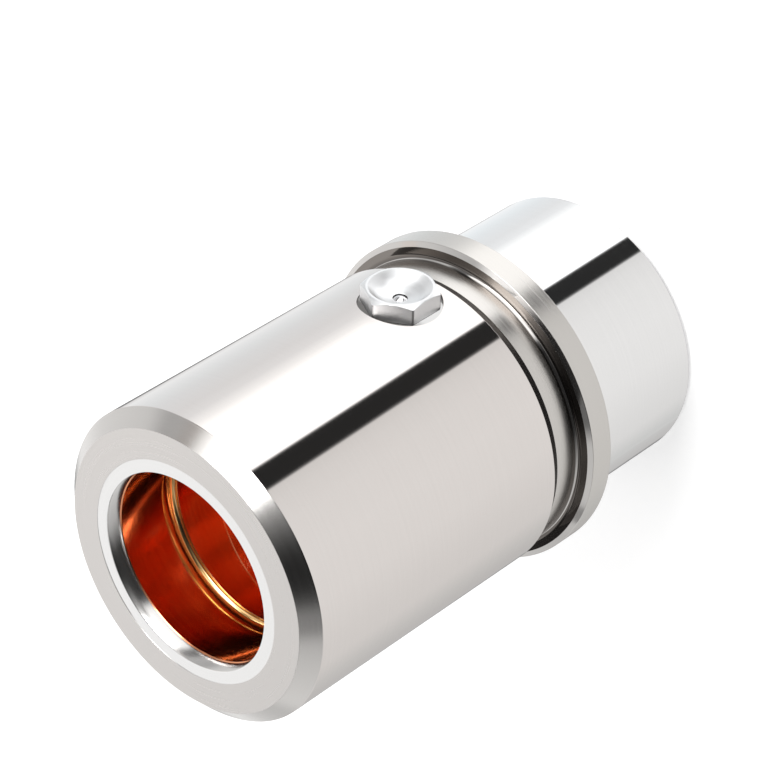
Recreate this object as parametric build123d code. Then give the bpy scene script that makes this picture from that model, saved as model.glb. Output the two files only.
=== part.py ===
from build123d import *
import math
import os

# Guide bushing for a die set, in millimetres.
# The origin is on the axis, in the plane of the collar's seating face.
# +Z runs along the axis towards the mouth of the guiding body, so the bushing
# stands on the end of its spigot. +X points out through the grease nipple.

# Bore and lining
bore_d = 28.0
lining_wall = 1.5
lip_length = 2.3
lip_opening = 0.15
lining_edge_bevel = 0.15

# Mouth of the guiding body
land_width = 2.0
land_step = 0.05
lip_bevel = 0.1
mouth_bevel_axial = 2.0
mouth_bevel_radial = 2.2

# Guiding body, neck, collar and spigot
body_d = 45.0
body_length = 47.0
neck_d = 43.0
neck_length = 6.0
neck_bevel_axial = 1.75
neck_corner_bevel = 0.9
collar_d = 48.0
collar_thickness = 4.0
collar_bevel_axial = 0.3
collar_bevel_radial = 0.8
spigot_d = 40.0
spigot_length = 23.0
spigot_bevel = 0.6
relief_width = 2.0
relief_depth = 0.25
relief_face_depth = 0.1
relief_face_width = 0.4

# Lubrication grooves: a ring near each end, joined by a slightly shallower helix
ring_groove_width = 2.8
ring_groove_depth = 0.7
ring_floor_share = 0.6
ring_from_end = 11.2
helix_groove_width = 2.4
helix_groove_depth = 0.5
helix_floor_share = 0.5
helix_pitch = 15.5
grease_hole_d = 3.0

# Grease nipple
nipple_from_mouth = 40.7
spot_face_d = 11.5
spot_face_depth = 0.8
hex_across_flats = 9.5
head_height = 2.9
head_top_d = 9.2
head_bevel_angle = 30.0
funnel_d = 8.6
funnel_depth = 1.8
funnel_hole_d = 2.0
funnel_lip = 0.3
shank_d = 8.0
shank_from_lining = 1.4
shank_bevel = 0.5
thread_clearance = 0.05
thread_run_out = 0.4

# Check valve in the nipple
ball_seat_width = 0.2
ball_seat_clearance = 0.02
ball_side_clearance = 0.2
spring_wire_d = 0.28
spring_from_wall = 0.4
spring_end_clearance = 0.02
spring_turns = 4.0
spring_wire_sides = 4
passage_exit_d = 1.2
passage_floor = 0.5

# How far a cutting solid reaches past what it cuts
cut_margin = 1.0

# Places worked out from the sizes above
bore_r = bore_d / 2
lining_r = bore_r + lining_wall
lip_r = bore_r + lip_opening
land_r = bore_r + land_width
body_r = body_d / 2
neck_r = neck_d / 2
collar_r = collar_d / 2
spigot_r = spigot_d / 2
shoulder_z = collar_thickness
body_back_z = shoulder_z + neck_length
mouth_z = body_back_z + body_length
tail_z = -spigot_length
lining_top_z = mouth_z - lip_length
lining_bottom_z = tail_z + lip_length
top_ring_z = mouth_z - ring_from_end
bottom_ring_z = tail_z + ring_from_end
nipple_z = mouth_z - nipple_from_mouth
spot_face_x = body_r - spot_face_depth
shank_r = shank_d / 2 - thread_clearance
shank_end_x = lining_r + shank_from_lining
shank_length = spot_face_x - shank_end_x
hole_r = funnel_hole_d / 2
ball_r = hole_r + ball_seat_width
passage_r = ball_r + ball_side_clearance
head_top_x = spot_face_x + head_height
seat_edge_x = head_top_x - funnel_depth - funnel_lip
ball_x = seat_edge_x - math.sqrt(ball_r**2 - hole_r**2) - ball_seat_clearance
passage_floor_x = shank_end_x + passage_floor


def turned(points):
    """Solid of revolution about Z from an outline of (radius, height) points."""
    outline = Polyline(*[(r, 0, z) for r, z in points], close=True)
    return revolve(make_face(outline), Axis.Z)


def radial(solid):
    """Place a solid built upwards from the origin so that it points out along +X at the nipple."""
    return Location((0, 0, nipple_z), (0, 90, 0)) * solid


def radial_cylinder(r, x_from, x_to):
    """Cylinder on the nipple's axis between two distances from the bushing's axis."""
    rod = Cylinder(r, x_to - x_from, align=(Align.CENTER, Align.CENTER, Align.MIN))
    return radial(Pos(0, 0, x_from) * rod)


def bush_body():
    """Ground steel sleeve: outside turned in one piece, with a recess in the bore for the bronze."""
    outside = [
        (0, tail_z),
        (spigot_r - spigot_bevel, tail_z),
        (spigot_r, tail_z + spigot_bevel),
        (spigot_r, -relief_width),
        (spigot_r - relief_depth, -relief_width + relief_depth),
        (spigot_r - relief_depth, relief_face_depth),
        (spigot_r + relief_face_width, 0),
        (collar_r, 0),
        (collar_r, shoulder_z - collar_bevel_axial),
        (collar_r - collar_bevel_radial, shoulder_z),
        (neck_r + neck_corner_bevel, shoulder_z),
        (neck_r, shoulder_z + neck_corner_bevel),
        (neck_r, body_back_z - neck_bevel_axial),
        (body_r, body_back_z),
        (body_r, mouth_z - mouth_bevel_axial),
        (body_r - mouth_bevel_radial, mouth_z),
        (0, mouth_z),
    ]
    inside = [
        (0, tail_z - cut_margin),
        (lip_r + lip_bevel, tail_z - cut_margin),
        (lip_r + lip_bevel, tail_z),
        (lip_r, tail_z + lip_bevel),
        (lip_r, lining_bottom_z),
        (lining_r, lining_bottom_z),
        (lining_r, lining_top_z),
        (lip_r, lining_top_z),
        (lip_r, mouth_z - land_step - lip_bevel),
        (lip_r + lip_bevel, mouth_z - land_step),
        (land_r, mouth_z - land_step),
        (land_r, mouth_z + cut_margin),
        (0, mouth_z + cut_margin),
    ]
    sleeve = turned(outside) - turned(inside)
    sleeve -= radial_cylinder(spot_face_d / 2, spot_face_x, body_r + cut_margin)
    tapped_to = shank_end_x - thread_run_out
    sleeve -= radial_cylinder(shank_d / 2, tapped_to, spot_face_x)
    sleeve -= radial_cylinder(grease_hole_d / 2, bore_r, tapped_to)
    return sleeve


def ring_groove(z):
    """Ring groove with sloping walls, as a solid to cut from the lining."""
    half = ring_groove_width / 2
    floor = half * ring_floor_share
    depth = ring_groove_depth
    return Pos(0, 0, z) * turned(
        [
            (bore_r - depth, floor - 2 * half),
            (bore_r + depth, -floor),
            (bore_r + depth, floor),
            (bore_r - depth, 2 * half - floor),
        ]
    )


def helical_groove():
    """Groove with sloping walls that climbs from the lower ring to the upper one, under the nipple."""
    half = helix_groove_width / 2
    floor = half * helix_floor_share
    depth = helix_groove_depth
    outline = Polyline(
        (-depth, floor - 2 * half),
        (depth, -floor),
        (depth, floor),
        (-depth, 2 * half - floor),
        close=True,
    )
    path = Helix(helix_pitch, top_ring_z - bottom_ring_z, bore_r)
    section = Plane(origin=path @ 0, x_dir=(1, 0, 0), z_dir=path % 0) * make_face(outline)
    start_angle = 360 * (bottom_ring_z - nipple_z) / helix_pitch
    return Pos(0, 0, bottom_ring_z) * Rot(0, 0, start_angle) * sweep(section, path=path, is_frenet=True)


def bronze_lining():
    """Bronze layer in the bore, with its grooves and the hole that feeds them."""
    bevel = lining_edge_bevel
    layer = turned(
        [
            (bore_r, lining_bottom_z + bevel),
            (bore_r + bevel, lining_bottom_z),
            (lining_r, lining_bottom_z),
            (lining_r, lining_top_z),
            (bore_r + bevel, lining_top_z),
            (bore_r, lining_top_z - bevel),
        ]
    )
    layer -= helical_groove()
    layer -= ring_groove(top_ring_z)
    layer -= ring_groove(bottom_ring_z)
    layer -= radial_cylinder(grease_hole_d / 2, bore_r - cut_margin, lining_r + cut_margin)
    return layer


def grease_nipple():
    """Funnel nipple: low hexagon with bevelled corners, threaded shank and a stepped passage."""
    slope = math.tan(math.radians(head_bevel_angle))
    corner_r = hex_across_flats / math.sqrt(3)
    drop = (corner_r - head_top_d / 2) * slope
    hexagon = extrude(RegularPolygon(hex_across_flats / 2, 6, major_radius=False), head_height)
    envelope = turned(
        [
            (0, 0),
            (corner_r + cut_margin, 0),
            (corner_r + cut_margin, head_height - drop - cut_margin * slope),
            (head_top_d / 2, head_height),
            (0, head_height),
        ]
    )
    shank = turned(
        [
            (0, 0),
            (shank_r, 0),
            (shank_r, -shank_length + shank_bevel),
            (shank_r - shank_bevel, -shank_length),
            (0, -shank_length),
        ]
    )
    hole_top = head_height - funnel_depth
    seat_edge = hole_top - funnel_lip
    passage = turned(
        [
            (0, head_height + cut_margin),
            (funnel_d / 2, head_height + cut_margin),
            (funnel_d / 2, head_height),
            (hole_r, hole_top),
            (hole_r, seat_edge),
            (passage_r, seat_edge - (passage_r - hole_r)),
            (passage_r, -shank_length + passage_floor),
            (passage_exit_d / 2, -shank_length + passage_floor),
            (passage_exit_d / 2, -shank_length - cut_margin),
            (0, -shank_length - cut_margin),
        ]
    )
    nipple = (hexagon & envelope) + shank - passage
    return radial(Pos(0, 0, spot_face_x) * nipple)


def check_ball():
    """Steel ball that closes the hole in the funnel, resting on the hole's inner edge."""
    return Pos(ball_x, 0, nipple_z) * Sphere(ball_r)


def check_spring():
    """Coil spring from the floor of the passage to the ball, which sits in its last coil."""
    wire_r = spring_wire_d / 2
    coil_r = passage_r - spring_from_wall - wire_r
    reach = math.sqrt((ball_r + spring_end_clearance + wire_r) ** 2 - coil_r**2)
    start = passage_floor_x + spring_end_clearance + wire_r
    length = ball_x - reach - start
    path = Helix(length / spring_turns, length, coil_r)
    outline = RegularPolygon(wire_r, spring_wire_sides)
    section = Plane(origin=path @ 0, x_dir=(1, 0, 0), z_dir=path % 0) * outline
    return radial(Pos(0, 0, start) * sweep(section, path=path, is_frenet=True))


nodes = {
    "bush_body": bush_body,
    "bronze_lining": bronze_lining,
    "grease_nipple": grease_nipple,
    "check_ball": check_ball,
    "check_spring": check_spring,
}

os.makedirs("parts", exist_ok=True)
for name, make in nodes.items():
    export_step(make(), os.path.join("parts", name + ".step"))
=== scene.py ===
import logging
import math
from dataclasses import dataclass
from enum import Enum
from typing import Callable, Sequence

import bpy
from mathutils import Matrix, Vector


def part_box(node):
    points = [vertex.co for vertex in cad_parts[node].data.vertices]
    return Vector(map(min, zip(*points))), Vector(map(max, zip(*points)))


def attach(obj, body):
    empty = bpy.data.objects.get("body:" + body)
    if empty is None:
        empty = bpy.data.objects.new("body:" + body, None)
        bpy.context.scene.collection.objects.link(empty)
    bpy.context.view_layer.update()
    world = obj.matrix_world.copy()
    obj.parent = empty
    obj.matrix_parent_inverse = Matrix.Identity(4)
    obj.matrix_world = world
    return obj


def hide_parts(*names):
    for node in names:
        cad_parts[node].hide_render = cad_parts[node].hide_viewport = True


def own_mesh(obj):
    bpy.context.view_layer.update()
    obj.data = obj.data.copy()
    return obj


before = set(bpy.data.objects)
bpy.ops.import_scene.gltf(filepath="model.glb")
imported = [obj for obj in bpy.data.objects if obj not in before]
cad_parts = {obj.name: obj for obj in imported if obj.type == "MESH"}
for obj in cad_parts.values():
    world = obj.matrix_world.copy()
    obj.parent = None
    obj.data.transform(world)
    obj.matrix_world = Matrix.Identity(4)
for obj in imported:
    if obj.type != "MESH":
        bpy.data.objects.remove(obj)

logging.basicConfig(level=logging.INFO, format="%(message)s")
log = logging.getLogger("guide_bushing")

Piece = bpy.types.Object
Tree = bpy.types.NodeTree
Socket = bpy.types.NodeSocket

MM = 0.001
UM = 1e-6
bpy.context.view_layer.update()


def cad_box(node: str) -> tuple[tuple[float, ...], tuple[float, ...]]:
    """Measure a CAD node at rest.

    Args:
        node: the node's name.

    Returns:
        Its lowest and its highest corner, in millimetres.
    """
    low, high = (tuple(round(value / MM, 3) for value in corner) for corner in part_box(node))
    return low, high


SLEEVE_LOW, SLEEVE_HIGH = cad_box("bush_body")
LINING_LOW, LINING_HIGH = cad_box("bronze_lining")
NIPPLE_LOW, NIPPLE_HIGH = cad_box("grease_nipple")
# The bushing stands along Z with its mouth up, and the nipple points out along X.
MOUTH_Z = SLEEVE_HIGH[2]
TAIL_Z = SLEEVE_LOW[2]
NIPPLE_Z = round((NIPPLE_LOW[2] + NIPPLE_HIGH[2]) / 2, 3)

# How far a cutter reaches past what it cuts, in millimetres.
OVERSHOOT = 1.0
# Points this close together, in metres, are one point where a turning or a winding closes.
TURNED_SEAM = 1e-6
WOUND_SEAM = 1e-7
# Most of a noise texture's values lie between these two.
NOISE_LOW = 0.3
NOISE_HIGH = 0.7
# How much darker and lighter than the metal's colour its tool lines are.
LINE_CONTRAST = 0.01


def linear(code: str) -> tuple[float, float, float, float]:
    """Turn an sRGB hex colour into linear values for a shader.

    Args:
        code: six hex digits, such as "C8C4C0".

    Returns:
        Linear red, green and blue, and an alpha of 1.
    """
    parts = [int(code[i:i + 2], 16) / 255 for i in (0, 2, 4)]
    values = [c / 12.92 if c <= 0.04045 else ((c + 0.055) / 1.055) ** 2.4 for c in parts]
    return (values[0], values[1], values[2], 1.0)


def add_node(
    tree: Tree,
    kind: str,
    settings: dict[str, object] | None = None,
    values: dict[str | int, object] | None = None,
    links: dict[str | int, Socket] | None = None,
) -> bpy.types.Node:
    """Add a shader node, set it up and link what feeds it.

    Args:
        tree: the node tree to add to.
        kind: the node's type name.
        settings: attributes of the node, such as its operation.
        values: constants for its input sockets, by name or number.
        links: output sockets that feed its inputs, by input name or number.

    Returns:
        The new node.
    """
    node = tree.nodes.new(kind)
    for name, value in (settings or {}).items():
        setattr(node, name, value)
    for name, value in (values or {}).items():
        node.inputs[name].default_value = value
    for name, socket in (links or {}).items():
        tree.links.new(socket, node.inputs[name])
    return node


def calculate(tree: Tree, operation: str, *terms: float | Socket) -> Socket:
    """Work out a number in a node tree.

    Args:
        tree: the node tree to add to.
        operation: the math node's operation.
        terms: its inputs in order, each a number or a socket.

    Returns:
        The socket that gives the result.
    """
    values = {i: term for i, term in enumerate(terms) if isinstance(term, float)}
    links = {i: term for i, term in enumerate(terms) if i not in values}
    node = add_node(tree, "ShaderNodeMath", {"operation": operation}, values, links)
    return node.outputs["Value"]


def map_range(
    tree: Tree,
    value: Socket,
    given: tuple[float, float],
    wanted: tuple[float, float] = (0.0, 1.0),
) -> Socket:
    """Stretch one range of a number over another, and hold the ends beyond it.

    Args:
        tree: the node tree to add to.
        value: the number to stretch.
        given: the range it comes in.
        wanted: the range it is stretched over.

    Returns:
        The socket that gives the stretched number.
    """
    ends = {"From Min": given[0], "From Max": given[1], "To Min": wanted[0], "To Max": wanted[1]}
    node = add_node(tree, "ShaderNodeMapRange", values=ends, links={"Value": value})
    return node.outputs["Result"]


def deselect() -> None:
    """Leave edit mode and deselect everything."""
    if bpy.context.object and bpy.context.object.mode != "OBJECT":
        bpy.ops.object.mode_set(mode="OBJECT")
    bpy.ops.object.select_all(action="DESELECT")


def make_active(piece: Piece) -> None:
    """Select one piece alone and make it the active one.

    Args:
        piece: the piece to work on.
    """
    deselect()
    piece.select_set(True)
    bpy.context.view_layer.objects.active = piece


def apply_modifier(piece: Piece, kind: str, **settings: object) -> None:
    """Add a modifier with its settings and apply it at once.

    Args:
        piece: the mesh to change.
        kind: the modifier's type name.
        settings: attributes of the modifier.
    """
    make_active(piece)
    modifier = piece.modifiers.new(kind.lower(), kind)
    for name, value in settings.items():
        setattr(modifier, name, value)
    bpy.ops.object.modifier_apply(modifier=modifier.name)


def cut(piece: Piece, tool: Piece, operation: str = "DIFFERENCE") -> None:
    """Cut a piece with a tool, or keep what they share, and delete the tool.

    Args:
        piece: the mesh that stays.
        tool: the closed mesh that cuts it.
        operation: the boolean operation.
    """
    apply_modifier(piece, "BOOLEAN", object=tool, operation=operation, solver="EXACT")
    bpy.data.objects.remove(tool)


@dataclass(frozen=True)
class Corner:
    """A corner of a turned outline, in millimetres, with the radius that rounds it."""

    r: float
    z: float
    round: float = 0.0
    steps: int = 4


def rounded_outline(
    corners: Sequence[Corner], hold: float = 0.04, most: float = 0.45
) -> list[tuple[float, float]]:
    """Round the corners of a closed outline with short arcs.

    Args:
        corners: the outline's corners in order.
        hold: distance from each end of an arc to a ring that keeps the wall beyond it truly
            straight, so that the arc's shading doesn't spread over the wall.
        most: the largest share of a wall that one arc may take.

    Returns:
        Points of the outline as (radius, height), in millimetres.
    """
    points: list[tuple[float, float]] = []
    for i, corner in enumerate(corners):
        here = Vector((corner.r, corner.z))
        if corner.round <= 0:
            points.append((here.x, here.y))
            continue
        before = Vector((corners[i - 1].r, corners[i - 1].z)) - here
        after_corner = corners[(i + 1) % len(corners)]
        after = Vector((after_corner.r, after_corner.z)) - here
        half = before.angle(after) / 2
        reach = min(corner.round / math.tan(half), before.length * most, after.length * most)
        start = here + before.normalized() * reach
        end = here + after.normalized() * reach
        rings = [start * (1 - t) ** 2 + here * 2 * t * (1 - t) + end * t ** 2
                 for t in (k / corner.steps for k in range(corner.steps + 1))]
        if before.length * 0.5 > reach + hold:
            rings.insert(0, here + before.normalized() * (reach + hold))
        if after.length * 0.5 > reach + hold:
            rings.append(here + after.normalized() * (reach + hold))
        points.extend((ring.x, ring.y) for ring in rings)
    return points


def turn(
    name: str, outline: Sequence[tuple[float, float]], sides: int, closed: bool = True
) -> Piece:
    """Turn an outline round the Z axis by extruding a circle from point to point.

    Args:
        name: the piece's name.
        outline: points as (radius, height), in millimetres, the way that puts faces outwards.
        sides: how many sides the turning has.
        closed: True for a ring, whose last point joins the first, False for a bar with flat ends.

    Returns:
        A closed mesh with its place in its vertices.
    """
    deselect()
    radius, height = outline[0]
    bpy.ops.mesh.primitive_circle_add(vertices=sides, radius=radius * MM, location=(0, 0, 0))
    piece = bpy.context.object
    piece.name = name
    bpy.ops.object.mode_set(mode="EDIT")
    bpy.ops.mesh.select_all(action="SELECT")
    bpy.ops.transform.translate(value=(0, 0, height * MM))
    if not closed:
        bpy.ops.mesh.edge_face_add()
    following = list(outline[1:]) + ([outline[0]] if closed else [])
    for next_radius, next_height in following:
        climb = (0, 0, (next_height - height) * MM)
        bpy.ops.mesh.extrude_region_move(TRANSFORM_OT_translate={"value": climb})
        scale = next_radius / radius
        bpy.ops.transform.resize(value=(scale, scale, 1), center_override=(0, 0, 0))
        radius, height = next_radius, next_height
    bpy.ops.mesh.select_all(action="SELECT")
    bpy.ops.mesh.remove_doubles(threshold=TURNED_SEAM)
    bpy.ops.mesh.normals_make_consistent(inside=False)
    bpy.ops.object.mode_set(mode="OBJECT")
    return piece


def wind(piece: Piece, turns: float, rise: float, steps: int) -> None:
    """Carry a flat outline round the Z axis and up, as a thread is cut or a spring is wound.

    Args:
        piece: the outline, which becomes the winding.
        turns: how many times it goes round.
        rise: how far it climbs in all, in millimetres.
        steps: how many straight stretches it is made of.
    """
    apply_modifier(
        piece,
        "SCREW",
        angle=math.tau * turns,
        screw_offset=rise * MM,
        steps=steps,
        render_steps=steps,
        use_merge_vertices=False,
    )


def close_ends(piece: Piece) -> None:
    """Join a winding's stretches, close its two ends and point its faces outwards.

    Args:
        piece: the winding.
    """
    make_active(piece)
    bpy.ops.object.mode_set(mode="EDIT")
    bpy.ops.mesh.select_all(action="SELECT")
    bpy.ops.mesh.remove_doubles(threshold=WOUND_SEAM)
    bpy.ops.mesh.select_all(action="DESELECT")
    bpy.ops.mesh.select_non_manifold()
    bpy.ops.mesh.edge_face_add()
    bpy.ops.mesh.select_all(action="SELECT")
    bpy.ops.mesh.normals_make_consistent(inside=False)
    bpy.ops.object.mode_set(mode="OBJECT")


def put(piece: Piece, place: Matrix) -> None:
    """Move a piece's mesh and leave its origin where it was, at the frame's.

    Args:
        piece: the piece to move.
        place: the way and the distance it is moved.
    """
    make_active(piece)
    piece.matrix_world = place
    bpy.ops.object.transform_apply(location=True, rotation=True, scale=True)


def point_outwards(piece: Piece) -> None:
    """Lay a piece that was turned about Z along the nipple's axis, pointing out along +X."""
    put(piece, Matrix.Translation((0, 0, NIPPLE_Z * MM)) @ Matrix.Rotation(math.pi / 2, 4, "Y"))


def rod(radius: float, start: float, end: float, sides: int) -> Piece:
    """Make a round cutter on the nipple's axis.

    Args:
        radius: its radius, in millimetres.
        start: distance of its inner end from the bushing's axis.
        end: distance of its outer end from the bushing's axis.
        sides: how many sides it has.

    Returns:
        The cutter, as a closed mesh.
    """
    cutter = turn("cutter", [(radius, start), (radius, end)], sides, closed=False)
    point_outwards(cutter)
    return cutter


def smooth(piece: Piece, degrees: float = 30.0) -> None:
    """Shade a piece smooth, with edges sharper than this angle left crisp."""
    make_active(piece)
    bpy.ops.object.shade_smooth_by_angle(angle=math.radians(degrees))


def dress(
    piece: Piece,
    materials: Sequence[bpy.types.Material],
    pick: Callable[[Vector], int] = lambda place: 0,
) -> None:
    """Give a piece its materials, face by face.

    Args:
        piece: the mesh to dress.
        materials: one for each slot.
        pick: gives the slot's number for a face from its centre, in millimetres. Without it,
            every face has the first one.
    """
    piece.data.materials.clear()
    for material in materials:
        piece.data.materials.append(material)
    for face in piece.data.polygons:
        face.material_index = pick(face.center / MM)


class Lay(Enum):
    """Which way the fine lines of a machined surface run."""

    ROUND_THE_AXIS = "hoops on a cylinder, one above the other"
    ON_A_FACE = "circles on a flat face, one inside the other"
    ON_THE_NIPPLE = "circles in the nipple's funnel, about its own axis"


@dataclass(frozen=True)
class MachinedMetal:
    """A bare machined metal with fine tool lines.

    Attributes:
        name: what the real metal and finish are called.
        colour: sRGB hex of its reflection.
        roughness: how far it blurs a reflection.
        lay: the way its lines run.
        line_mm: distance between lines.
        line_depth_um: depth of the lines.
        tone_swing: how much the roughness varies from place to place.
    """

    name: str
    colour: str
    roughness: float
    lay: Lay
    line_mm: float
    line_depth_um: float
    tone_swing: float = 0.25

    def material(self) -> bpy.types.Material:
        """Build the metal's material.

        Returns:
            A material whose lines and tone follow Object coordinates.
        """
        material = bpy.data.materials.new(self.name)
        material.use_nodes = True
        tree = material.node_tree
        shader = tree.nodes["Principled BSDF"]
        shader.inputs["Metallic"].default_value = 1.0
        along = self._lines(tree)
        lines = add_node(
            tree,
            "ShaderNodeTexNoise",
            {"noise_dimensions": "3D"},
            {"Scale": 1.0, "Detail": 3.0, "Roughness": 0.6},
            {"Vector": along},
        )
        tree.links.new(self._relief(tree, lines.outputs["Fac"]), shader.inputs["Normal"])
        tree.links.new(self._blur(tree, lines.outputs["Fac"]), shader.inputs["Roughness"])
        dark, light = self._tones()
        tone = add_node(tree, "ShaderNodeValToRGB", links={"Fac": lines.outputs["Fac"]})
        tone.color_ramp.elements[0].position = NOISE_LOW
        tone.color_ramp.elements[0].color = dark
        tone.color_ramp.elements[1].position = NOISE_HIGH
        tone.color_ramp.elements[1].color = light
        tree.links.new(tone.outputs["Color"], shader.inputs["Base Color"])
        return material

    def _relief(self, tree: Tree, lines: Socket) -> Socket:
        """Raise the fine lines as a bump.

        Args:
            tree: the material's node tree.
            lines: the socket that gives the tool lines.

        Returns:
            The socket that gives the normal.
        """
        return add_node(
            tree,
            "ShaderNodeBump",
            values={"Strength": 1.0, "Distance": self.line_depth_um * UM},
            links={"Height": lines},
        ).outputs["Normal"]

    def _blur(self, tree: Tree, lines: Socket) -> Socket:
        """Let the roughness rise and fall with the lines.

        Args:
            tree: the material's node tree.
            lines: the socket that gives the tool lines.

        Returns:
            The socket that gives the roughness.
        """
        low = self.roughness * (1 - self.tone_swing)
        high = self.roughness * (1 + self.tone_swing)
        return map_range(tree, lines, (NOISE_LOW, NOISE_HIGH), (low, high))

    def _tones(self) -> tuple[tuple[float, ...], tuple[float, ...]]:
        """Give the colours between which the metal's tool lines vary.

        Returns:
            The darkest and the lightest colour, linear, with an alpha of 1.
        """
        base = linear(self.colour)[:3]
        dark = tuple(c * (1 - LINE_CONTRAST) for c in base)
        light = tuple(min(c * (1 + LINE_CONTRAST), 1.0) for c in base)
        return dark + (1.0,), light + (1.0,)

    def _lines(self, tree: Tree) -> Socket:
        """Lay out coordinates that change fast across the lines and slowly along them.

        Args:
            tree: the material's node tree.

        Returns:
            The socket that gives the coordinates.
        """
        place = add_node(tree, "ShaderNodeTexCoord").outputs["Object"]
        across = 1 / (self.line_mm * MM)
        # The lines keep their strength for about 20 mm along their run, so 50 per metre.
        slow = 50.0
        if self.lay is Lay.ROUND_THE_AXIS:
            scale = {"Scale": (slow, slow, across)}
            hoops = add_node(tree, "ShaderNodeMapping", values=scale, links={"Vector": place})
            return hoops.outputs["Vector"]
        if self.lay is Lay.ON_THE_NIPPLE:
            place = add_node(
                tree,
                "ShaderNodeMapping",
                values={"Location": (-NIPPLE_Z * MM, 0, 0), "Rotation": (0, math.pi / 2, 0)},
                links={"Vector": place},
            ).outputs["Vector"]
        kind = "ShaderNodeVectorMath"
        flat = add_node(tree, kind, {"operation": "MULTIPLY"}, {1: (1, 1, 0)}, {0: place})
        radius = add_node(tree, kind, {"operation": "LENGTH"}, links={0: flat.outputs["Vector"]})
        rings = calculate(tree, "MULTIPLY", radius.outputs["Value"], across)
        spread = add_node(tree, kind, {"operation": "SCALE"}, {"Scale": slow}, {0: place})
        parts = add_node(tree, "ShaderNodeSeparateXYZ", links={"Vector": spread.outputs["Vector"]})
        return add_node(
            tree,
            "ShaderNodeCombineXYZ",
            links={"X": parts.outputs["X"], "Y": parts.outputs["Y"], "Z": rings},
        ).outputs["Vector"]


@dataclass(frozen=True)
class DressedMetal(MachinedMetal):
    """A ground metal that was dressed by hand round the nipple's seat after the grinding.

    Attributes:
        dressed_mm: radius of the dressed patch.
        fades_mm: radius at which the ground finish is whole again.
        dressed_roughness: how far the patch blurs a reflection.
    """

    dressed_mm: float = 6.5
    fades_mm: float = 9.0
    dressed_roughness: float = 0.22

    def _blur(self, tree: Tree, lines: Socket) -> Socket:
        """Blur the patch more than the ground surface round it.

        Args:
            tree: the material's node tree.
            lines: the socket that gives the tool lines.

        Returns:
            The socket that gives the roughness.
        """
        ground = super()._blur(tree, lines)
        place = add_node(tree, "ShaderNodeTexCoord").outputs["Object"]
        seat = (Sleeve.body_r * MM, 0.0, NIPPLE_Z * MM)
        distance = {"operation": "DISTANCE"}
        away = add_node(tree, "ShaderNodeVectorMath", distance, {1: seat}, {0: place})
        fades = (self.dressed_mm * MM, self.fades_mm * MM)
        patch = map_range(tree, away.outputs["Value"], fades, (self.dressed_roughness, 0.0))
        return calculate(tree, "MAXIMUM", ground, patch)


@dataclass(frozen=True)
class SeatMetal(MachinedMetal):
    """A milled seat that greys towards the bushing's mouth: a painted reflection of the nipple's
    side.

    Attributes:
        grey: sRGB hex of the grey side, the painted reflection.
        greys_from_mm: height above the nipple's axis at which it starts to grey.
        grey_at_mm: height at which it is fully grey.
    """

    grey: str = "6E6C6A"
    greys_from_mm: float = 1.0
    grey_at_mm: float = 3.2

    def material(self) -> bpy.types.Material:
        """Build the seat's material.

        Returns:
            The milled metal, with the painted reflection of its grey side mixed in along Object Z.
        """
        material = super().material()
        tree = material.node_tree
        colour = tree.nodes["Principled BSDF"].inputs["Base Color"]
        place = add_node(tree, "ShaderNodeTexCoord").outputs["Object"]
        height = add_node(tree, "ShaderNodeSeparateXYZ", links={"Vector": place}).outputs["Z"]
        greys = ((NIPPLE_Z + self.greys_from_mm) * MM, (NIPPLE_Z + self.grey_at_mm) * MM)
        # Painted reflection: the seat greys towards the mouth, where it would mirror the nipple's
        # side.
        share = map_range(tree, height, greys)
        mix = add_node(
            tree,
            "ShaderNodeMix",
            {"data_type": "RGBA"},
            {7: linear(self.grey)},
            {0: share, 6: colour.links[0].from_socket},
        )
        tree.links.new(mix.outputs[2], colour)
        return material


@dataclass(frozen=True)
class EasedMetal(MachinedMetal):
    """A bored lip whose entry is eased: it leans more towards the end, the nearer it is.

    Attributes:
        lean_at_end: slope of the surface at the end of the bore.
        lean_lost_per_mm: how much of the slope is lost with each millimetre of depth.
    """

    lean_at_end: float = 1.0
    lean_lost_per_mm: float = 0.28

    def _relief(self, tree: Tree, lines: Socket) -> Socket:
        """Add the easing to the relief of the lines, as a height that grows with the depth.

        Args:
            tree: the material's node tree.
            lines: the socket that gives the tool lines.

        Returns:
            The socket that gives the normal.
        """
        fine = super()._relief(tree, lines)
        place = add_node(tree, "ShaderNodeTexCoord").outputs["Object"]
        height = add_node(tree, "ShaderNodeSeparateXYZ", links={"Vector": place}).outputs["Z"]
        middle = calculate(tree, "SUBTRACT", height, (MOUTH_Z + TAIL_Z) / 2 * MM)
        away = calculate(tree, "ABSOLUTE", middle)
        # Depth below the nearer end, in millimetres.
        depth = calculate(tree, "MULTIPLY_ADD", away, -1 / MM, (MOUTH_Z - TAIL_Z) / 2)
        lean = calculate(tree, "MULTIPLY_ADD", depth, -self.lean_lost_per_mm / 2, self.lean_at_end)
        rise = calculate(tree, "MULTIPLY", depth, lean)
        return add_node(
            tree,
            "ShaderNodeBump",
            values={"Strength": 1.0, "Distance": MM},
            links={"Height": rise, "Normal": fine},
        ).outputs["Normal"]


# Cylindrical grinding leaves hoops a few hundredths of a millimetre apart. They are drawn at
# 0.3 mm, the finest that shows, and so shallow that the body still mirrors the studio sharply.
GROUND_STEEL = DressedMetal(
    "hardened_steel_ground", colour="E6E1DE", roughness=0.045,
    lay=Lay.ROUND_THE_AXIS, line_mm=0.3, line_depth_um=0.015, tone_swing=0.12,
)
# The spigot is ground last, to its fit, and comes out a shade lighter and more neutral.
FIT_GROUND_STEEL = MachinedMetal(
    "hardened_steel_ground_to_fit", colour="F2F2F2", roughness=0.045,
    lay=Lay.ROUND_THE_AXIS, line_mm=0.3, line_depth_um=0.015, tone_swing=0.12,
)
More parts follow.
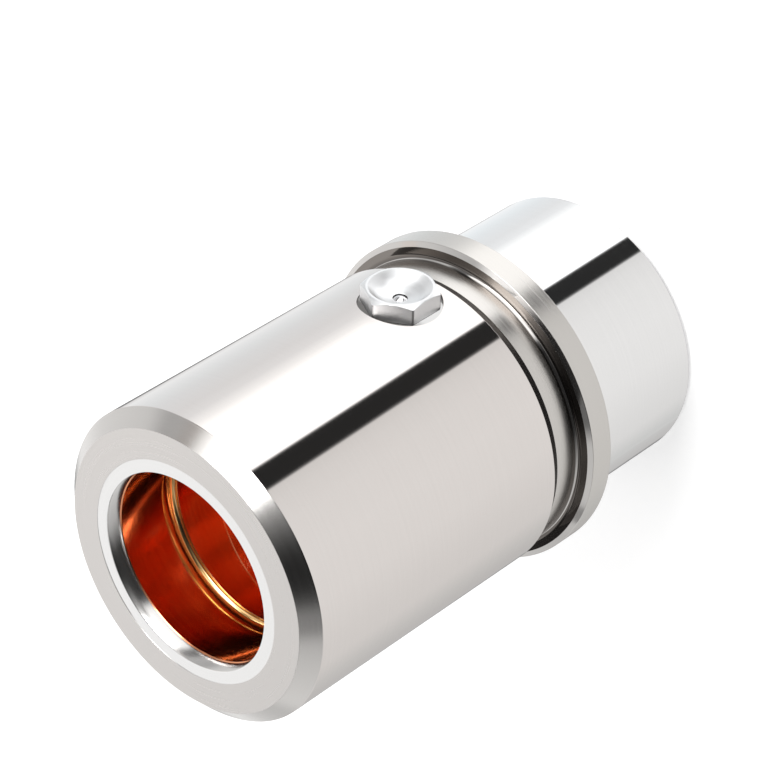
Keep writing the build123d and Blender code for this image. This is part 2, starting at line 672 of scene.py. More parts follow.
# The neck and the collar's rim are fine-turned, which blurs what they mirror into soft bands.
TURNED_STEEL = MachinedMetal(
    "hardened_steel_turned", colour="D9D6D2", roughness=0.24,
    lay=Lay.ROUND_THE_AXIS, line_mm=0.25, line_depth_um=0.5, tone_swing=0.15,
)
# The collar's bevel and the upper part of the fillet are turned with a fresh edge: nearly mirrors.
FINE_TURNED_STEEL = MachinedMetal(
    "hardened_steel_fine_turned", colour="D9D6D3", roughness=0.09,
    lay=Lay.ON_A_FACE, line_mm=0.3, line_depth_um=0.05, tone_swing=0.2,
)
# The collar's face is clamped, never ground, and smooth. Its dark colour is painted reflection: it
# stands in for the dark that the face mirrors.
REFLECTION_PAINTED_COLLAR_STEEL = MachinedMetal(
    "hardened_steel_collar_face_painted_reflection", colour="746F6B", roughness=0.07,
    lay=Lay.ON_A_FACE, line_mm=0.3, line_depth_um=0.05, tone_swing=0.2,
)
# The bevel round the mouth is turned with a fresh edge: crisper than the rim, softer than grinding.
BEVELLED_STEEL = MachinedMetal(
    "hardened_steel_bevelled", colour="D9D6D3", roughness=0.18,
    lay=Lay.ON_A_FACE, line_mm=0.25, line_depth_um=0.1, tone_swing=0.1,
)
# The end faces are left matt from the lathe, so they show an even grey with faint circles.
FACED_STEEL = MachinedMetal(
    "hardened_steel_faced", colour="D6D2CF", roughness=0.30,
    lay=Lay.ON_A_FACE, line_mm=0.35, line_depth_um=0.8, tone_swing=0.15,
)
# The land round the bore is polished, and stays the brightest part of the end.
POLISHED_STEEL = MachinedMetal(
    "hardened_steel_polished", colour="EAE9E8", roughness=0.12,
    lay=Lay.ON_A_FACE, line_mm=0.3, line_depth_um=0.1, tone_swing=0.15,
)
# The lips at the ends of the bore are eased with a hone, so they show the room and not the bronze.
EASED_STEEL = EasedMetal(
    "hardened_steel_eased", colour="DAD8D6", roughness=0.2,
    lay=Lay.ROUND_THE_AXIS, line_mm=0.25, line_depth_um=0.2, tone_swing=0.1,
)
# The nipple's seat is milled bright, so that only the edges round it draw a line. Its side towards
# the mouth greys, a painted reflection of the nipple's side.
MILLED_STEEL = SeatMetal(
    "hardened_steel_milled", colour="DEDDDC", roughness=0.3,
    lay=Lay.ON_THE_NIPPLE, line_mm=0.4, line_depth_um=1.0, tone_swing=0.15,
)
# No wheel reaches the bevel behind the body or the wall of the nipple's seat. Their dark colour is
# painted shade, for the shade in the gap behind the body and round the nipple, so they read as dark
# lines.
SHADE_PAINTED_STEEL = MachinedMetal(
    "hardened_steel_painted_shade", colour="625E5C", roughness=0.35,
    lay=Lay.ROUND_THE_AXIS, line_mm=0.3, line_depth_um=0.5, tone_swing=0.15,
)
# The lining is honed bronze: warm, fairly sharp, and deep red where it mirrors itself.
HONED_BRONZE = MachinedMetal(
    "tin_bronze_honed", colour="EDA178", roughness=0.15,
    lay=Lay.ROUND_THE_AXIS, line_mm=0.3, line_depth_um=0.3, tone_swing=0.2,
)
# The grooves are cut last. Their colour, paler and yellower than the honed bore's, is a painted
# highlight for the bright glint in the grooves.
HIGHLIGHT_PAINTED_BRONZE = MachinedMetal(
    "tin_bronze_painted_highlight", colour="FFCF90", roughness=0.15,
    lay=Lay.ROUND_THE_AXIS, line_mm=0.3, line_depth_um=0.3, tone_swing=0.2,
)
# Bright zinc over turned steel, with the tool's circles still to be seen in the funnel.
ZINC_PLATE = MachinedMetal(
    "steel_zinc_plated", colour="F6F7F8", roughness=0.42,
    lay=Lay.ON_THE_NIPPLE, line_mm=0.5, line_depth_um=8.0, tone_swing=0.15,
)
# The hexagon's flats are milled before plating, so they are duller than what the lathe cut. Their
# darker colour is painted shade, a shaded copy of the plating.
SHADE_PAINTED_ZINC_FLATS = MachinedMetal(
    "steel_zinc_plated_flats_painted_shade", colour="BCBCBE", roughness=0.45,
    lay=Lay.ON_THE_NIPPLE, line_mm=0.4, line_depth_um=1.0, tone_swing=0.15,
)
# The hole that the ball closes and the edge under the hexagon are dark: painted shade, for the
# shadow round the ball and in the gap under the hexagon.
SHADE_PAINTED_BORE = MachinedMetal(
    "steel_bore_painted_shade", colour="3C3A39", roughness=0.4,
    lay=Lay.ON_THE_NIPPLE, line_mm=0.2, line_depth_um=1.0,
)
# A bearing ball is lapped, so it mirrors everything round it.
LAPPED_STEEL = MachinedMetal(
    "bearing_steel_lapped", colour="ECECEE", roughness=0.07,
    lay=Lay.ON_THE_NIPPLE, line_mm=0.3, line_depth_um=0.02, tone_swing=0.1,
)
# Drawn spring wire has a dull grey skin.
SPRING_WIRE = MachinedMetal(
    "spring_wire_drawn", colour="A9A9AB", roughness=0.28,
    lay=Lay.ON_THE_NIPPLE, line_mm=0.2, line_depth_um=0.5,
)


class Zone(Enum):
    """The sleeve's surfaces, each with the finish that its last operation leaves. The rear bevel
    and the seat's wall carry painted shade, and the collar's face and the seat carry painted
    reflection.
    """

    BODY = GROUND_STEEL
    SPIGOT = FIT_GROUND_STEEL
    NECK_AND_RIM = TURNED_STEEL
    COLLAR_BEVEL = FINE_TURNED_STEEL
    COLLAR_FACE = REFLECTION_PAINTED_COLLAR_STEEL
    MOUTH_BEVEL = BEVELLED_STEEL
    END_FACE = FACED_STEEL
    LAND = POLISHED_STEEL
    LIP = EASED_STEEL
    NIPPLE_SEAT = MILLED_STEEL
    REAR_BEVEL = SHADE_PAINTED_STEEL


@dataclass
class Sleeve:
    """The hardened steel sleeve: guiding body, neck, collar and spigot, in millimetres.

    fine_fillet is how far out from the neck its fillet is fine-turned, and only faces beyond
    hole_side_x can belong to the nipple's seat.
    """

    body_r: float = 22.5
    neck_r: float = 21.5
    collar_r: float = SLEEVE_HIGH[0]
    spigot_r: float = 20.0
    recess_r: float = LINING_HIGH[0]
    lip_r: float = 14.15
    land_r: float = 16.0
    shoulder_z: float = 4.0
    body_back_z: float = 10.0
    spigot_bevel: float = 0.6
    relief_width: float = 2.0
    relief_depth: float = 0.25
    relief_face_depth: float = 0.1
    relief_face_width: float = 0.4
    collar_bevel_axial: float = 0.3
    collar_bevel_radial: float = 0.8
    fillet: float = 0.9
    fine_fillet: float = 0.22
    neck_bevel_axial: float = 1.75
    mouth_bevel_axial: float = 2.0
    mouth_bevel_radial: float = 2.2
    land_step: float = 0.05
    land_wall: float = 0.03
    lip_bevel: float = 0.1
    spot_face_r: float = 5.75
    spot_face_x: float = 21.7
    hole_r: float = 4.0
    hole_end_x: float = 16.5
    hole_side_x: float = 15.0
    feed_r: float = 1.5
    sides: int = 256
    cutter_sides: int = 128

    def outline(self) -> list[tuple[float, float]]:
        """List the sleeve's turned outline, with its fine edge roundings.

        Returns:
            Points as (radius, height), in millimetres.
        """
        undercut_r = self.spigot_r - self.relief_depth
        land_z = MOUTH_Z - self.land_step
        # The third number of a corner is the radius that rounds it.
        return rounded_outline(
            [
                Corner(self.lip_r, TAIL_Z + self.lip_bevel, 0.05),
                Corner(self.lip_r + self.lip_bevel, TAIL_Z, 0.05),
                Corner(self.spigot_r - self.spigot_bevel, TAIL_Z, 0.15),
                Corner(self.spigot_r, TAIL_Z + self.spigot_bevel, 0.15),
                Corner(self.spigot_r, -self.relief_width, 0.05),
                Corner(undercut_r, self.relief_depth - self.relief_width, 0.1),
                Corner(undercut_r, self.relief_face_depth, 0.05),
                Corner(self.spigot_r + self.relief_face_width, 0.0),
                Corner(self.collar_r, 0.0, 0.05),
                Corner(self.collar_r, self.shoulder_z - self.collar_bevel_axial, 0.06),
                Corner(self.collar_r - self.collar_bevel_radial, self.shoulder_z, 0.08),
                Corner(self.neck_r, self.shoulder_z, self.fillet, steps=10),
                Corner(self.neck_r, self.body_back_z - self.neck_bevel_axial, 0.08),
                Corner(self.body_r, self.body_back_z, 0.08),
                Corner(self.body_r, MOUTH_Z - self.mouth_bevel_axial, 0.05),
                Corner(self.body_r - self.mouth_bevel_radial, MOUTH_Z, 0.1),
                Corner(self.land_r, MOUTH_Z, 0.02),
                Corner(self.land_r - self.land_wall, land_z, 0.02),
                Corner(self.lip_r, land_z, 0.1),
                Corner(self.lip_r, LINING_HIGH[2]),
                Corner(self.recess_r, LINING_HIGH[2]),
                Corner(self.recess_r, LINING_LOW[2]),
                Corner(self.lip_r, LINING_LOW[2]),
            ]
        )

    def zone(self, place: Vector) -> Zone:
        """Say which surface of the sleeve a face belongs to.

        Args:
            place: the face's centre, in millimetres.

        Returns:
            The surface, whose value is its finish.
        """
        # The small numbers keep the narrow faces of a rounded edge with the surface they belong to.
        r = math.hypot(place.x, place.y)
        away = math.hypot(place.y, place.z - NIPPLE_Z)
        in_seat = place.x > self.hole_side_x and away < self.spot_face_r + 0.01
        if in_seat and r < self.body_r - 0.02:
            # The seat's wall takes the painted shade of the rear bevel.
            return Zone.NIPPLE_SEAT if place.x < self.spot_face_x + 0.01 else Zone.REAR_BEVEL
        if r < self.land_r - 0.01 and place.z > MOUTH_Z - self.land_step - 0.01:
            return Zone.LAND
        if r < self.recess_r + 0.1:
            return Zone.LIP
        if place.z > MOUTH_Z - 0.01 or place.z < TAIL_Z + 0.01:
            return Zone.END_FACE
        if place.z > MOUTH_Z - self.mouth_bevel_axial + 0.05:
            return Zone.MOUTH_BEVEL
        if place.z < -0.01:
            return Zone.SPIGOT
        if self.shoulder_z - self.collar_bevel_axial < place.z < self.shoulder_z + self.fillet:
            # The collar's face takes the dark painted reflection.
            face_end = self.collar_r - self.collar_bevel_radial + 0.02
            on_face = self.neck_r + self.fine_fillet < r < face_end
            return Zone.COLLAR_FACE if on_face else Zone.COLLAR_BEVEL
        if place.z < self.body_back_z - self.neck_bevel_axial + 0.02:
            return Zone.NECK_AND_RIM
        return Zone.REAR_BEVEL if place.z < self.body_back_z - 0.03 else Zone.BODY

    def build(self) -> Piece:
        """Turn the sleeve, cut the nipple's seat and dress it.

        Returns:
            The finished piece, riding on the bushing.
        """
        sleeve = turn("steel_sleeve", self.outline(), self.sides)
        for radius, start, end in (
            (self.spot_face_r, self.spot_face_x, self.body_r + 2 * OVERSHOOT),
            (self.hole_r, self.hole_end_x, self.spot_face_x + OVERSHOOT),
            (self.feed_r, self.recess_r - OVERSHOOT, self.hole_end_x + OVERSHOOT),
        ):
            cut(sleeve, rod(radius, start, end, self.cutter_sides))
        smooth(sleeve)
        zones = list(Zone)
        materials = [zone.value.material() for zone in zones]
        dress(sleeve, materials, lambda place: zones.index(self.zone(place)))
        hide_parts("bush_body")
        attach(sleeve, "bushing")
        return sleeve


@dataclass
class Lining:
    """The bronze layer in the bore, with its ring grooves and the helix that joins them."""

    bore_r: float = 14.0
    clearance: float = 0.02
    outer_r: float = LINING_HIGH[0] - clearance
    top: float = LINING_HIGH[2]
    bottom: float = LINING_LOW[2]
    edge_bevel: float = 0.15
    ring_from_end: float = 11.2
    ring_width: float = 2.8
    ring_depth: float = 0.95
    helix_width: float = 2.4
    helix_depth: float = 0.5
    helix_floor_share: float = 0.5
    helix_pitch: float = 15.5
    feed_r: float = Sleeve.feed_r
    sides: int = 256
    cutter_sides: int = 64

    def ring_heights(self) -> tuple[float, float]:
        """Give the heights of the upper and the lower ring groove."""
        return MOUTH_Z - self.ring_from_end, TAIL_Z + self.ring_from_end

    def ring_corners(self, z: float) -> list[Corner]:
        """List the corners of a ring groove with an oval bottom, from its upper edge down.

        Args:
            z: height of the groove's middle, in millimetres.

        Returns:
            The corners in order.
        """
        half = self.ring_width / 2
        swings = [math.radians(degrees) for degrees in range(80, -81, -10)]
        oval = [(self.ring_depth * math.cos(swing), half * math.sin(swing)) for swing in swings]
        return [
            Corner(self.bore_r, z + half, 0.1),
            *(Corner(self.bore_r + depth, z + height) for depth, height in oval),
            Corner(self.bore_r, z - half, 0.1),
        ]

    def outline(self) -> list[tuple[float, float]]:
        """List the lining's turned outline.

        Returns:
            Points as (radius, height), in millimetres.
        """
        upper, lower = self.ring_heights()
        return rounded_outline(
            [
                Corner(self.outer_r, self.bottom),
                Corner(self.outer_r, self.top),
                Corner(self.bore_r + self.edge_bevel, self.top),
                Corner(self.bore_r, self.top - self.edge_bevel, 0.05),
                *self.ring_corners(upper),
                *self.ring_corners(lower),
                Corner(self.bore_r, self.bottom + self.edge_bevel, 0.05),
                Corner(self.bore_r + self.edge_bevel, self.bottom),
            ]
        )

    def helix_tool(self) -> Piece:
        """Make the helical cutter: a four-sided outline carried round and up by a screw.

        Returns:
            A closed mesh that runs from the lower ring to the upper one.
        """
        upper, lower = self.ring_heights()
        turns = (upper - lower) / self.helix_pitch
        deselect()
        bpy.ops.mesh.primitive_plane_add(size=1, location=(0, 0, 0))
        tool = bpy.context.object
        inner = self.bore_r - self.helix_depth
        deep = self.bore_r + self.helix_depth
        floor = self.helix_width / 2 * self.helix_floor_share
        wide = self.helix_width - floor
        places = [(inner, -wide), (deep, -floor), (inner, wide), (deep, floor)]
        for vertex, (r, z) in zip(tool.data.vertices, places):
            vertex.co = (r * MM, 0, z * MM)
        wind(tool, turns, upper - lower, int(self.sides * turns))
        # It starts where it will pass under the nipple.
        start = math.tau * (lower - NIPPLE_Z) / self.helix_pitch
        put(tool, Matrix.Translation((0, 0, lower * MM)) @ Matrix.Rotation(start, 4, "Z"))
        close_ends(tool)
        return tool

    def surface(self, place: Vector) -> int:
        """Pick the paler bronze, a painted highlight, for the faces of the ring grooves, and the
        honed finish for all others.

        Args:
            place: the face's centre, in millimetres.

        Returns:
            The number of the finish.
        """
        near = min(abs(place.z - z) for z in self.ring_heights()) < self.ring_width / 2 + 0.05
        depth = math.hypot(place.x, place.y) - self.bore_r
        return 1 if near and 0.03 < depth < self.ring_depth + 0.1 else 0

    def build(self) -> Piece:
        """Turn the lining, cut its helix and feed hole, and dress it.

        Returns:
            The finished piece, riding on the bushing.
        """
        lining = turn("bronze_bore", self.outline(), self.sides)
        cut(lining, self.helix_tool())
        start, end = self.bore_r - OVERSHOOT, self.outer_r + OVERSHOOT
        cut(lining, rod(self.feed_r, start, end, self.cutter_sides))
        smooth(lining)
        # The second finish is the painted highlight of the ring grooves.
        dress(lining, [HONED_BRONZE.material(), HIGHLIGHT_PAINTED_BRONZE.material()], self.surface)
        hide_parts("bronze_lining")
        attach(lining, "bushing")
        return lining


@dataclass
class Nipple:
    """The funnel nipple and the valve in it. Heights are distances from the bushing's axis."""

    across_flats: float = NIPPLE_HIGH[1] - NIPPLE_LOW[1]
    seat_x: float = Sleeve.spot_face_x
    top_x: float = NIPPLE_HIGH[0]
    top_r: float = 4.6
    bevel_slope: float = math.tan(math.radians(30))
    funnel_r: float = 4.3
    funnel_depth: float = 1.8
    hole_r: float = 1.0
    hole_lip: float = 0.3
    passage_r: float = 1.4
    exit_r: float = 0.6
    shank_r: float = 3.95
    shank_end_x: float = NIPPLE_LOW[0]
    shank_bevel: float = 0.5
    into_head: float = 0.5
    floor: float = 0.5
    edge_round: float = 0.2
    dish_r: float = 3.0
    dish_x: float = 23.4
    dish_round: float = 4.0
    flare: float = 0.4
    flats_end: float = 1.0
    ball_r: float = 1.2
    seat_gap: float = 0.02
    wire_r: float = 0.14
    coil_r: float = 0.86
    coils: int = 4
    coil_steps: int = 40
    wire_sides: int = 10
    sides: int = 192

    def head(self) -> Piece:
        """Make the hexagon with its bevelled corners.

        Returns:
            The head as a closed mesh about Z, at its height above the axis.
        """
        corner = self.across_flats / math.sqrt(3)
        height = self.top_x - self.seat_x
        deselect()
        bpy.ops.mesh.primitive_cylinder_add(
            vertices=6,
            radius=corner * MM,
            depth=height * MM,
            location=(0, 0, (self.seat_x + height / 2) * MM),
        )
        head = bpy.context.object
        bpy.ops.object.transform_apply(location=True, rotation=True, scale=True)
        # The primitive has corners on Y. The real hexagon has two in line with the bushing's axis.
        bpy.ops.object.mode_set(mode="EDIT")
        bpy.ops.mesh.select_all(action="SELECT")
        bpy.ops.transform.rotate(value=math.pi / 2, orient_axis="Z", center_override=(0, 0, 0))
        bpy.ops.object.mode_set(mode="OBJECT")
        # The hexagon's own edges turn by 60 degrees or more.
        apply_modifier(
            head,
            "BEVEL",
            width=self.edge_round * MM,
            segments=3,
            limit_method="ANGLE",
            angle_limit=math.radians(50),
        )
        wide = corner + OVERSHOOT
        cap = [
            (wide, self.seat_x - OVERSHOOT),
            (wide, self.top_x - (wide - self.top_r) * self.bevel_slope),
            (self.top_r, self.top_x),
            (self.top_r / 2, self.top_x),
        ]
        cut(head, turn("cutter", cap, self.sides, closed=False), "INTERSECT")
        return head

    def passage(self) -> Piece:
        """Make the cutter for the funnel, the valve's seat and the passage behind it.

        Returns:
            The cutter, as a closed mesh about Z.
        """
        hole_top = self.top_x - self.funnel_depth
        seat = hole_top - self.hole_lip
        floor_x = self.shank_end_x + self.floor
        outline = rounded_outline(
            [
                Corner(self.exit_r, self.shank_end_x - OVERSHOOT),
                Corner(self.exit_r, floor_x),
                Corner(self.passage_r, floor_x),
                Corner(self.passage_r, seat - (self.passage_r - self.hole_r)),
                Corner(self.hole_r, seat),
                Corner(self.hole_r, hole_top, 0.06),
                Corner(self.dish_r, self.dish_x, self.dish_round, steps=12),
                Corner(self.funnel_r, self.top_x, 0.1),
                Corner(self.funnel_r + self.flare, self.top_x + OVERSHOOT),
            ]
        )
        return turn("cutter", outline, self.sides, closed=False)

    def shank(self) -> Piece:
        """Make the plain shank that stands in for the threaded one inside the sleeve.

        Returns:
            The shank as a closed mesh about Z.
        """
        outline = [
            (self.shank_r - self.shank_bevel, self.shank_end_x),
            (self.shank_r, self.shank_end_x + self.shank_bevel),
            (self.shank_r, self.seat_x + self.into_head),
        ]
        return turn("shank", outline, self.sides, closed=False)

    def surface(self, place: Vector, hole_top: float) -> int:
        """Pick plating for a face, a darker copy of the plating on a flat as painted shade, or
        painted shade in the hole and on the edge under the hexagon.

        Args:
            place: the face's centre, in millimetres.
            hole_top: height of the hole's upper edge above the bushing's axis.

        Returns:
            The number of the finish.
        """
        away = math.hypot(place.y, place.z - NIPPLE_Z)
        # Painted shade in the hole round the ball.
        if away < self.passage_r + 0.01 and place.x < hole_top:
            return 1
        if away < self.across_flats / 2 - self.edge_round - 0.05:
            return 0
        # Painted shade on the edge under the hexagon.
        if self.seat_x < place.x < self.seat_x + self.edge_round:
            return 1
        # The flats get the shaded copy of the plating, painted shade.
        return 2 if place.x < self.top_x - self.flats_end else 0

    def build(self) -> Piece:
        """Join the head and the shank, bore them and dress the valve.

        Returns:
            The finished nipple, riding on the bushing.
        """
        nipple = self.head()
        nipple.name = "funnel_nipple"
        cut(nipple, self.shank(), "UNION")
        cut(nipple, self.passage())
        point_outwards(nipple)
        smooth(nipple)
        # The flats stay flat to the light right up to their rounded edges.
        apply_modifier(nipple, "WEIGHTED_NORMAL", mode="FACE_AREA", weight=100, keep_sharp=True)
        # The rounded edge of the hole stays plated, down to just below the funnel's depth.
        hole_top = self.top_x - self.funnel_depth - 0.02
        finishes = [ZINC_PLATE, SHADE_PAINTED_BORE, SHADE_PAINTED_ZINC_FLATS]
        materials = [finish.material() for finish in finishes]
        dress(nipple, materials, lambda place: self.surface(place, hole_top))
        # The photograph's studio hides the nipple's mirror image in the body.
        nipple.visible_glossy = False
        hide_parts("grease_nipple")
        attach(nipple, "bushing")
        return nipple

    def ball_x(self) -> float:
        """Give the height of the ball's centre at rest, with its crown in the funnel's hole."""
        seat = self.top_x - self.funnel_depth - self.hole_lip
        return seat - math.sqrt(self.ball_r ** 2 - self.hole_r ** 2) - self.seat_gap

    def ball(self) -> Piece:
        """Make the check ball, which seats on the inner edge of the funnel's hole.

        Returns:
            The finished ball, riding on its own body.
        """
        deselect()
        bpy.ops.mesh.primitive_cube_add(size=self.ball_r * MM, location=(0, 0, 0))
        ball = bpy.context.object
        ball.name = "lapped_ball"
        bpy.ops.object.mode_set(mode="EDIT")
        bpy.ops.mesh.select_all(action="SELECT")
        bpy.ops.mesh.subdivide(number_cuts=15)
        bpy.ops.transform.tosphere(value=1)
        bpy.ops.object.mode_set(mode="OBJECT")
        reach = max(vertex.co.length for vertex in ball.data.vertices)
        centre = Matrix.Translation((self.ball_x() * MM, 0, NIPPLE_Z * MM))
        put(ball, centre @ Matrix.Scale(self.ball_r * MM / reach, 4))
        smooth(ball)
        dress(ball, [LAPPED_STEEL.material()])
        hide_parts("check_ball")
        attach(ball, "ball")
        return ball

    def spring(self) -> Piece:
        """Wind the check spring from the passage's floor to the ball at rest.

        Returns:
            The finished spring, riding on the bushing.
        """
        floor_x = self.shank_end_x + self.floor
        start = floor_x + self.seat_gap + self.wire_r
        reach = math.sqrt((self.ball_r + self.seat_gap + self.wire_r) ** 2 - self.coil_r ** 2)
        end = self.ball_x() - reach
        deselect()
        bpy.ops.mesh.primitive_circle_add(
            vertices=self.wire_sides, radius=self.wire_r * MM, location=(0, 0, 0)
        )
        spring = bpy.context.object
        spring.name = "wound_spring"
        bpy.ops.object.mode_set(mode="EDIT")
        bpy.ops.mesh.select_all(action="SELECT")
        bpy.ops.transform.rotate(value=math.pi / 2, orient_axis="X", center_override=(0, 0, 0))
        bpy.ops.transform.translate(value=(self.coil_r * MM, 0, start * MM))
        bpy.ops.object.mode_set(mode="OBJECT")
        wind(spring, self.coils, end - start, self.coil_steps * self.coils)
        close_ends(spring)
        point_outwards(spring)
        smooth(spring, 50)
        dress(spring, [SPRING_WIRE.material()])
        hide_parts("check_spring")
        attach(spring, "bushing")
        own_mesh(spring)
        return spring


@dataclass(frozen=True)
class Strip:
    """One strip of the studio's tent, painted round the horizon.

    Attributes:
        name: where the strip hangs.
        greys: headings in degrees, from -180 to 180, with the colour of the tent there.
    """

    name: str
    greys: tuple[tuple[float, str], ...]

    def paint(self, tree: Tree, heading: Socket) -> Socket:
        """Paint the strip as a ramp.

        Args:
            tree: the world's node tree.
            heading: the heading, from 0 at -180 degrees to 1 at 180 degrees.

        Returns:
            The socket that gives the strip's colour.
        """
        ramp = add_node(tree, "ShaderNodeValToRGB", {"label": self.name}, links={"Fac": heading})
        elements = ramp.color_ramp.elements
        while len(elements) > 1:
            elements.remove(elements[-1])
        for i, (degrees, grey) in enumerate(self.greys):
            position = (degrees + 180) / 360
            element = elements[0] if i == 0 else elements.new(position)
            element.position = position
            element.color = linear(grey)
        return ramp.outputs["Color"]


# What is straight below, which only the bevel behind the body mirrors.
UNDER_STRIP = Strip(
    "under the table",
    (
        (-180, "808080"), (-165, "B0B0B0"), (-20, "C8C8C8"), (-5, "FFFFFF"), (40, "FFFFFF"),
        (60, "C0C0C0"), (92, "A0A0A0"), (112, "808080"), (150, "606060"),
    ),
)
# The table under the tent, with the narrow black card that draws the line along the body. Its far
# end is dark, which draws the thin line along the body's outline.
TABLE_STRIP = Strip(
    "table and black card",
    (
        (-180, "B1B1B0"), (-160, "C0BFBE"), (-140, "C4C3C2"), (-110, "CBCAC9"), (-77, "CDCCCB"),
        (-50, "CBCAC9"), (-35, "C7C6C5"), (-26, "C1C0BF"), (-25.2, "242424"), (-9.9, "242424"),
        (-9.1, "FFFFFF"), (36, "FFFFFF"), (43, "E6E7E7"), (52, "D0D1D2"), (62, "C9CACB"),
        (80, "C9CCCE"), (90, "CCD0D2"), (100, "D0D3D5"), (110, "D4D6D7"), (118, "C4C4C4"),
        (123, "6A6A6A"), (145, "6A6A6A"), (150, "A2A1A0"), (165, "A8A7A6"), (180, "B1B1B0"),
    ),
)
# The foot of the tent's walls: a white panel on the nipple's side, a black one beside the camera.
FOOT_STRIP = Strip(
    "foot of the panels",
    (
        (-180, "CCCCCC"), (-150, "B8B8B8"), (-130, "A6A6A6"), (-115, "707070"), (-104, "303030"),
        (-95, "242424"), (-45, "242424"), (-38, "4A4A4A"), (-34, "E0E0E0"), (-30, "FFFFFF"),
        (24, "FFFFFF"), (27, "5A5A5A"), (38, "5A5A5A"), (44, "B4B4B4"), (52, "A6A6A6"),
        (62, "9C9C9C"), (72, "C4C4C4"), (103, "CFCFCF"), (115, "DCDCDC"), (150, "DCDCDC"),
        (160, "C0C0C0"), (172, "B0B0B0"), (180, "CCCCCC"),
    ),
)
# The tent's walls, with the same white panel. The black one is narrower here, and deeper.
WALL_STRIP = Strip(
    "white panel and black panel",
    (
        (-180, "BCBCBC"), (-166, "B4B4B4"), (-158, "707070"), (-146, "707070"), (-138, "B4B4B4"),
        (-127, "888888"), (-117, "383838"), (-107, "0C0C0C"), (-85, "0C0C0C"), (-73, "242424"),
        (-60, "505050"), (-47, "787878"), (-33, "A4A4A4"), (-20, "E5E5E5"), (-12, "FFFFFF"),
        (33, "FFFFFF"), (42, "ECECEC"), (50, "CCCCCC"), (60, "A8A8A8"), (75, "A8A8A8"),
        (84, "A4A4A4"), (92, "C4C4C4"), (115, "D8D8D8"), (162, "D8D8D8"), (172, "B8B8B8"),
        (180, "B0B0B0"),
    ),
)
# A dark rail round the tent where the collar's own mirror image is, open at the white panel.
RAIL_STRIP = Strip(
    "dark rail",
    (
        (-180, "808080"), (-170, "707070"), (-162, "3A3A3A"), (-145, "585858"), (-133, "707070"),
        (-124, "505050"), (-113, "2D2D2D"), (-90, "242424"), (-68, "242424"), (-46, "363636"),
        (-24, "6F6A67"), (-2, "D8D4D0"), (16, "D8D4D0"), (26, "A09A96"), (36, "908A86"),
        (48, "908A86"), (58, "807A76"), (93, "C8C2BE"), (120, "E8E6E4"), (135, "FFFFFF"),
        (139, "404040"), (142, "2C2C2C"), (165, "3A3A3A"), (176, "808080"),
    ),
)
# The roof of the tent, dark with one pale panel.
ROOF_STRIP = Strip(
    "roof",
    (
        (-180, "4C4C4C"), (-172, "6C6C6C"), (-164, "3A3A3A"), (-150, "242424"), (8, "242424"),
        (26, "707070"), (50, "E0E0E0"), (66, "F4F4F4"), (92, "F7F7F7"), (101, "999999"),
        (112, "404040"), (143, "2B2B2B"), (178, "4C4C4C"),
    ),
)


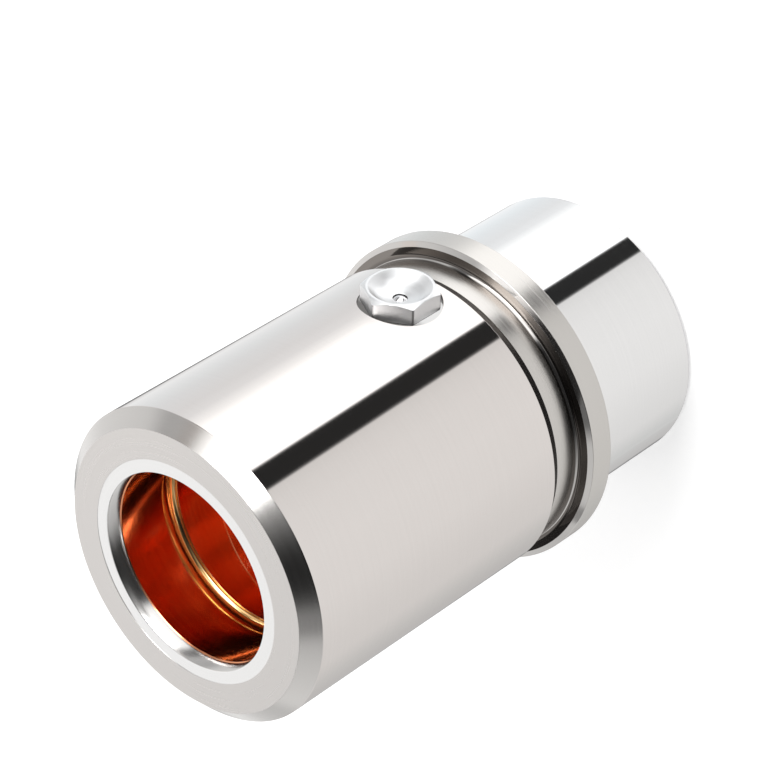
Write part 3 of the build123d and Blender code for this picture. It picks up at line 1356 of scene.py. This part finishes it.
@dataclass
class Studio:
    """Floor, tent, lamp and camera."""

    floor_gap: float = 0.02
    floor_size_m: float = 6.0
    floor_glow: float = 0.3
    tent_strength: float = 1.45
    room_strength: float = 0.85
    lamp_width_m: float = 0.75
    lamp_depth_m: float = 0.95
    lamp_distance_m: float = 1.6
    lamp_heading: float = 3.0
    lamp_height: float = 50.0
    lamp_watts: float = 11.0
    card_lean: float = 1.05
    card_height: float = -36.0

    def floor(self) -> Piece:
        """Lay a plain white floor that keeps the bushing's soft shadow.

        Returns:
            The floor.
        """
        deselect()
        height = (TAIL_Z - self.floor_gap) * MM
        bpy.ops.mesh.primitive_plane_add(size=self.floor_size_m, location=(0, 0, height))
        floor = bpy.context.object
        floor.name = "studio_floor"
        material = bpy.data.materials.new("white_paper_floor")
        material.use_nodes = True
        tree = material.node_tree
        tree.nodes.clear()
        paper = add_node(tree, "ShaderNodeBsdfDiffuse", values={"Color": linear("F6F6F6")})
        seen = add_node(tree, "ShaderNodeLightPath").outputs["Is Camera Ray"]
        # The camera sees the paper a little lighter than it is, as a backdrop that fades to white.
        glow = calculate(tree, "MULTIPLY", seen, self.floor_glow)
        white = {"Color": linear("FFFFFF")}
        light = add_node(tree, "ShaderNodeEmission", values=white, links={"Strength": glow})
        mixed = {0: paper.outputs["BSDF"], 1: light.outputs["Emission"]}
        both = add_node(tree, "ShaderNodeAddShader", links=mixed)
        add_node(tree, "ShaderNodeOutputMaterial", links={"Surface": both.outputs["Shader"]})
        floor.data.materials.append(material)
        floor.visible_glossy = False
        return floor

    def lamp(self) -> Piece:
        """Hang a soft box where the white panel is, which warms the bore and casts the soft shadow.

        Returns:
            The lamp.
        """
        data = bpy.data.lights.new("soft_box", "AREA")
        data.shape = "RECTANGLE"
        data.size, data.size_y = self.lamp_width_m, self.lamp_depth_m
        data.energy = self.lamp_watts
        lamp = bpy.data.objects.new("soft_box", data)
        bpy.context.scene.collection.objects.link(lamp)
        heading, height = math.radians(self.lamp_heading), math.radians(self.lamp_height)
        level = math.cos(height)
        out = Vector((math.cos(heading) * level, math.sin(heading) * level, math.sin(height)))
        lamp.location = out * self.lamp_distance_m
        lamp.rotation_euler = out.to_track_quat("Z", "Y").to_euler()
        return lamp

    def tent(self, tree: Tree) -> Socket:
        """Hang the tent's strips one above the other.

        Args:
            tree: the world's node tree.

        Returns:
            The socket that gives the tent's colour in each direction.
        """
        place = add_node(tree, "ShaderNodeTexCoord").outputs["Generated"]
        parts = add_node(tree, "ShaderNodeSeparateXYZ", links={"Vector": place})
        heading = calculate(tree, "ARCTAN2", parts.outputs["Y"], parts.outputs["X"])
        height = calculate(tree, "ARCSINE", parts.outputs["Z"])
        # The black card leans: its edges drift by card_lean degrees for each degree above
        # card_height, where the table strip's headings hold. A ramp runs from 0 to 1 in a turn.
        at_card = -self.card_lean * math.radians(self.card_height)
        lean = calculate(tree, "MULTIPLY_ADD", height, self.card_lean, at_card)
        leaning = calculate(tree, "ADD", heading, lean)
        straight = calculate(tree, "MULTIPLY_ADD", heading, 1 / math.tau, 0.5)
        leaning = calculate(tree, "MULTIPLY_ADD", leaning, 1 / math.tau, 0.5)
        colour = UNDER_STRIP.paint(tree, straight)
        # Each strip begins where the one below it ends, over a few degrees.
        for strip, round_it, low, high in (
            (TABLE_STRIP, leaning, -47.0, -45.0),
            (FOOT_STRIP, straight, -27.0, -17.0),
            (RAIL_STRIP, straight, 37.4, 38.0),
            (WALL_STRIP, straight, 42.6, 43.2),
            (ROOF_STRIP, straight, 61.0, 66.0),
        ):
            above = map_range(tree, height, (math.radians(low), math.radians(high)))
            links = {0: above, 6: colour, 7: strip.paint(tree, round_it)}
            colour = add_node(tree, "ShaderNodeMix", {"data_type": "RGBA"}, links=links).outputs[2]
        return colour

    def walls(self) -> None:
        """Put the bushing in its tent.

        The metal shows the tent. The camera sees plain white, and the floor gets even light.
        """
        world = bpy.data.worlds.new("studio_tent")
        bpy.context.scene.world = world
        world.use_nodes = True
        tree = world.node_tree
        tree.nodes.clear()
        seen = add_node(tree, "ShaderNodeLightPath").outputs
        kind = "ShaderNodeBackground"
        strength = {"Strength": self.tent_strength}
        tent = add_node(tree, kind, values=strength, links={"Color": self.tent(tree)})
        white = linear("FFFFFF")
        room = add_node(tree, kind, values={"Color": white, "Strength": self.room_strength})
        plain = add_node(tree, kind, values={"Color": white, "Strength": 1.0})
        links = {0: seen["Is Glossy Ray"], 1: room.outputs[0], 2: tent.outputs[0]}
        lit = add_node(tree, "ShaderNodeMixShader", links=links).outputs["Shader"]
        links = {0: seen["Is Camera Ray"], 1: lit, 2: plain.outputs[0]}
        mix = add_node(tree, "ShaderNodeMixShader", links=links)
        add_node(tree, "ShaderNodeOutputWorld", links={"Surface": mix.outputs["Shader"]})

    def camera(self) -> Piece:
        """Stand the camera where the photograph was taken from.

        Returns:
            The scene's camera.
        """
        data = bpy.data.cameras.new("photo_camera")
        data.sensor_width = 36.0
        data.lens = 144.42
        data.clip_start, data.clip_end = 0.01, 20.0
        camera = bpy.data.objects.new("photo_camera", data)
        bpy.context.scene.collection.objects.link(camera)
        right = Vector((0.013883, -0.740551, -0.671857))
        up = Vector((0.828452, 0.384757, -0.406977))
        back = Vector((0.559889, -0.550951, 0.618852))
        turned = Matrix((right, up, back)).transposed().to_4x4()
        camera.matrix_world = Matrix.Translation((0.240462, -0.226263, 0.27335)) @ turned
        bpy.context.scene.camera = camera
        return camera


def main() -> None:
    """Build the studio and the bushing, and report each piece."""
    bpy.context.scene.view_settings.view_transform = "Standard"
    studio = Studio()
    studio.camera()
    studio.floor()
    studio.walls()
    studio.lamp()
    nipple = Nipple()
    for make in (Sleeve().build, Lining().build, nipple.build, nipple.ball, nipple.spring):
        piece = make()
        log.info("%s: %d faces", piece.name, len(piece.data.polygons))


if __name__ == "__main__":
    main()
